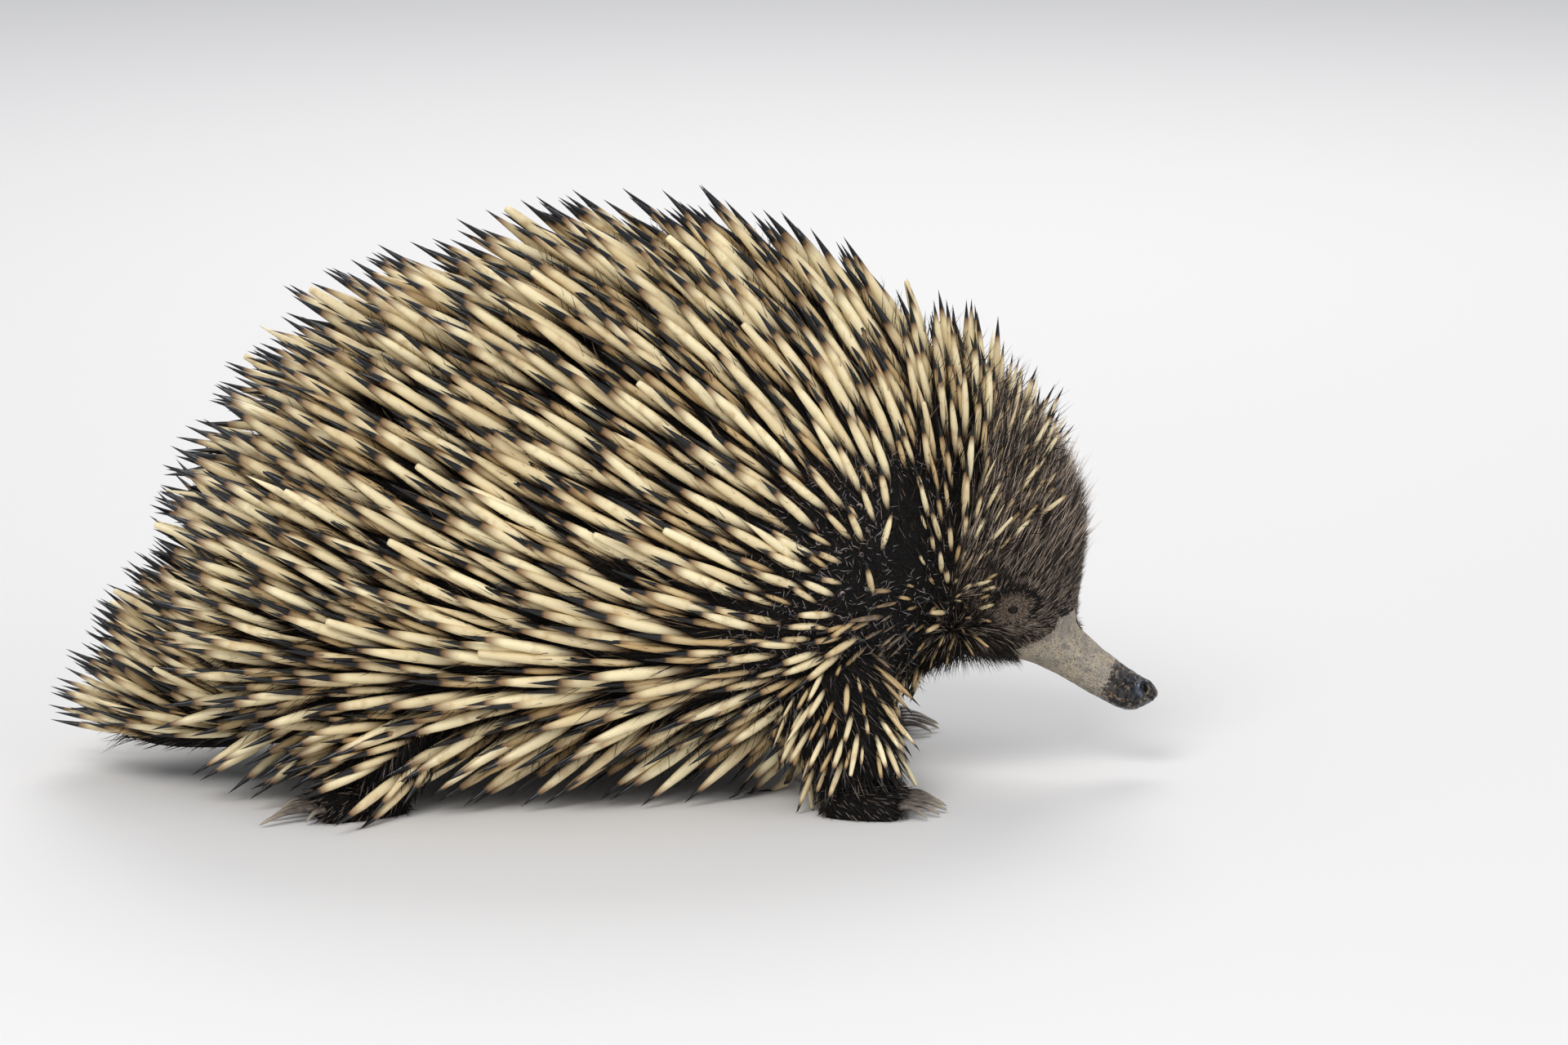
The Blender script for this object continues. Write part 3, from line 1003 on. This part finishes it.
# Fur of the face
# Fine black-brown fur runs from the ears' parting over the cheeks, up the brow and down to the bare
# beak's edge. It is shortest there and round the eyes, where a ring of pale hairs stands outwards,
# with a dark groove behind and above it and a paler arc about both.
FACE_SPACING, FACE_LENGTH, FACE_RADIUS, FACE_CURL = 0.00060, 0.0125, 0.00013, 0.05
FUR_BLACK, FUR_BROWN, FUR_TIP = (0.0066, 0.0054, 0.0047), (0.034, 0.025, 0.019), (0.56, 0.44, 0.34)
EYE_RING, EYE_GROOVE, EYE_ARC, EYE_BARE, EDGE_LENGTH = 0.0048, 0.0076, 0.0104, 0.0021, 0.0026
THROAT_Z, DARK_CHEEK_X, DARK_CHEEK_Z = 0.056, 0.158, 0.061
FACE_PALE, SPECK_SIZE, STREAK_SHARE, STREAK_Z, STREAK_LONGER = 0.29, 0.0013, 0.06, 0.082, 1.5


def on_face(points, normals):
    """The fur's side of its ragged edge, outside the eyes."""
    forward, up, _ = across_frame(points, EYE_FRAME)
    return (edge_of_fur(points) + 0.0012 * lumps(points, 0.0015, 7) < 0) & (np.hypot(forward, up) > EYE_BARE)


def face_flow(points, normals):
    """From the ear's parting, up the brow and down the low cheek, and out from the eye close to it. The
    length is the least of the full one, one that grows from the edge, and one that grows from the eye."""
    high = ease((points[:, 2] - 0.050) / 0.024)
    forward, up, _ = across_frame(points, EYE_FRAME)
    far = np.hypot(forward, up)
    from_eye = (EYE_FRAME[1] * forward[:, None] + EYE_FRAME[2] * up[:, None]) / np.maximum(far, 1e-6)[:, None]
    from_eye[:, 1] *= np.sign(points[:, 1])
    near = hump(far, 0.0075)[:, None]
    flow = unit(0.55 * unit(away_from(points, EAR_PARTING)) + upward(1.55 * high - 0.40))
    flow = unit(flow * (1 - near) + from_eye * near)
    throat = ease((THROAT_Z - points[:, 2]) / 0.010)
    lift = 0.55 * np.arcsin(np.clip(dot(flow, normals)[:, 0], -1, 1)) + math.radians(17)
    lift *= 1 - 0.55 * throat
    from_lids = 0.0016 + 0.60 * np.maximum(far - EYE_BARE, 0)
    lengths = np.minimum(EDGE_LENGTH - 0.30 * edge_of_fur(points), from_lids) * (1 - 0.60 * throat)
    return flow, np.clip(lift, math.radians(9), math.radians(48)), np.minimum(lengths / FACE_LENGTH, 1)


fur_finish = hair_material("fine fur", FUR_BLACK, FUR_BROWN, FUR_TIP)
for seed, rows in enumerate(((NECK_CUT, 10.4), (10.4, 11.6), (11.6, 13.4))):
    rng = np.random.default_rng(80 + seed)
    roots = grown_on("trunk", rows, FACE_SPACING, rng, on_face, face_flow)
    points, normals, place, flow, lift, share = roots
    count = len(points)
    lengths = FACE_LENGTH * share * rng.uniform(0.65, 1.15, count)
    forward, up, _ = across_frame(points, EYE_FRAME)
    far, x, z = np.hypot(forward, up), points[:, 0], points[:, 2]
    ringed, arc = hump(np.maximum(far - EYE_RING, 0), 0.0018), hump(far - EYE_ARC, 0.0016)
    behind, above = ease((0.002 - forward) / 0.004), ease((up + 0.003) / 0.003)
    groove = 0.55 * hump(far - EYE_GROOVE, 0.0008) * behind * above
    cheek = hump(edge_of_fur(points), 0.010) * ease((x - DARK_CHEEK_X + 0.004) / 0.008)
    dark = ease((DARK_CHEEK_X - x) / 0.010 + 0.5) * ease((DARK_CHEEK_Z - z) / 0.008) * (1 - ringed)
    about = np.maximum(ringed, 0.75 * np.maximum(cheek, arc))
    often = FACE_PALE + about * (0.45 + 0.70 * lumps(points, SPECK_SIZE, 9))
    often = often * (1 - 0.92 * np.maximum(dark, groove))
    lift = (lift + 0.5 * ringed) * rng.uniform(0.6, 1.5, count)
    ways = laid(flow + rng.normal(0, 1, (count, 3)) * (0.12 + 0.45 * ringed)[:, None], normals, lift)
    pale = np.where(rng.random(count) < often, rng.uniform(0.40, 1.0, count), 0.06 * (1 - dark))
    streak = (rng.random(count) < STREAK_SHARE) & (z > STREAK_Z)
    pale, lengths = np.where(streak, 1.0, pale), lengths * np.where(streak, STREAK_LONGER, 1.0)
    radii = FACE_RADIUS * (0.6 + 0.4 * lengths / FACE_LENGTH)
    fur = hairs(f"face_fur_{seed + 1}", roots, rng, ways, lengths, radii, FACE_CURL * lengths, FUR_SHAPE,
                fur_finish, np.clip(pale, 0, 1))


# Fur of the throat, the belly and the feet
# Softer dark fur on the parts that carry no spines, laid back along the belly and down the legs.
UNDER_SPACING, UNDER_LENGTH, UNDER_RADIUS, UNDER_CURL, UNDER_PALE = 0.0021, 0.0105, 0.00024, 0.06, 0.16
LEG_SPACING, LEG_LENGTH, PAW_SPACING, PAW_LENGTH, FUR_CLEAR = 0.0014, 0.0100, 0.0009, 0.0062, 0.0008


def under_side(points, normals):
    """The trunk where it has no spines: the belly and the throat."""
    x, z, up = points[:, 0], points[:, 2], normals[:, 2]
    return (z < 0.046) & ((up < -0.55) | (x > 0.110))


def off_the_floor(points, normals):
    """Everywhere on a leg or a paw but the sole."""
    return (points[:, 2] > 0.0012) & (normals[:, 2] > -0.9)


COATS = {"belly": ("trunk", (0.3, NECK_CUT), UNDER_SPACING, UNDER_LENGTH, under_side, (-1.0, 0, -0.12)),
         "tail": ("tail", (0.5, 3.95), UNDER_SPACING, UNDER_LENGTH, off_the_floor, (-1.0, 0, -0.05))}
for limb_name, (leg, side) in LIMBS.items():
    heading = paw_frame(leg, side)[1]
    COATS[limb_name] = (limb_name, (0, 3), LEG_SPACING, LEG_LENGTH, off_the_floor,
                        tuple(0.35 * heading + (0, 0, -1)))
    COATS[f"paw_{limb_name}"] = (f"paw_{limb_name}", (0, len(PAW_SHAPE) - 1.2), PAW_SPACING, PAW_LENGTH,
                                 off_the_floor, tuple(0.7 * heading + (0, 0, -0.5)))
for seed, (name, (ground, rows, spacing, length, wanted, way)) in enumerate(COATS.items()):
    rng = np.random.default_rng(100 + seed)
    roots = grown_on(ground, rows, spacing, rng, wanted, even_flow(way, 20))
    points, normals, place, flow, lift, share = roots
    count = len(points)
    lengths = length * rng.uniform(0.6, 1.15, count)
    ways = laid(flow + rng.normal(0, 0.16, (count, 3)), normals, lift * rng.uniform(0.5, 1.6, count))
    fur = hairs(f"fur_{name}", roots, rng, ways, lengths, UNDER_RADIUS, UNDER_CURL * lengths, HAIR_SHAPE,
                fur_finish, (0.35, UNDER_PALE), FUR_CLEAR)


# Floor
# A plain pale floor with a dull finish, wide enough for any view. It belongs to the stage and is no
# piece of the animal.
FLOOR_HALF, FLOOR_COLOUR, FLOOR_ROUGHNESS = 20.0, (0.78, 0.76, 0.73, 1), 0.85
floor_corners = np.array([(-1, -1, 0), (1, -1, 0), (1, 1, 0), (-1, 1, 0)]) * FLOOR_HALF
material, tree, shader, _ = new_material("pale floor")
shader.inputs["Base Color"].default_value = FLOOR_COLOUR
shader.inputs["Roughness"].default_value = FLOOR_ROUGHNESS
floor = new_piece("floor", floor_corners, (np.array([[0, 1, 2, 3]]),), material)

# Lights
# Soft studio light: a broad lamp over the camera's left, a weaker one to the right, one behind. Each
# lamp has its place, its size in metres and its power in watts.
LAMPS = {"key": ((-0.5, -1.6, 1.9), 1.2, 34), "fill": ((1.9, -1.2, 1.0), 1.5, 10),
         "rim": ((0.2, 1.6, 1.6), 1.2, 20)}
SKY_COLOUR, SKY_STRENGTH = (0.86, 0.90, 1.0, 1), 0.55
bpy.context.scene.view_settings.view_transform = "Standard"
world = bpy.data.worlds.new("studio")
bpy.context.scene.world = world
world.use_nodes = True
world.node_tree.nodes["Background"].inputs["Color"].default_value = SKY_COLOUR
world.node_tree.nodes["Background"].inputs["Strength"].default_value = SKY_STRENGTH
for name, (place, size, power) in LAMPS.items():
    lamp = bpy.data.objects.new(name, bpy.data.lights.new(name, "AREA"))
    bpy.context.scene.collection.objects.link(lamp)
    lamp.data.size, lamp.data.energy = size, power
    lamp.location = place
    lamp.rotation_euler = (CAMERA_AIM - Vector(place)).to_track_quat("-Z", "Y").to_euler()
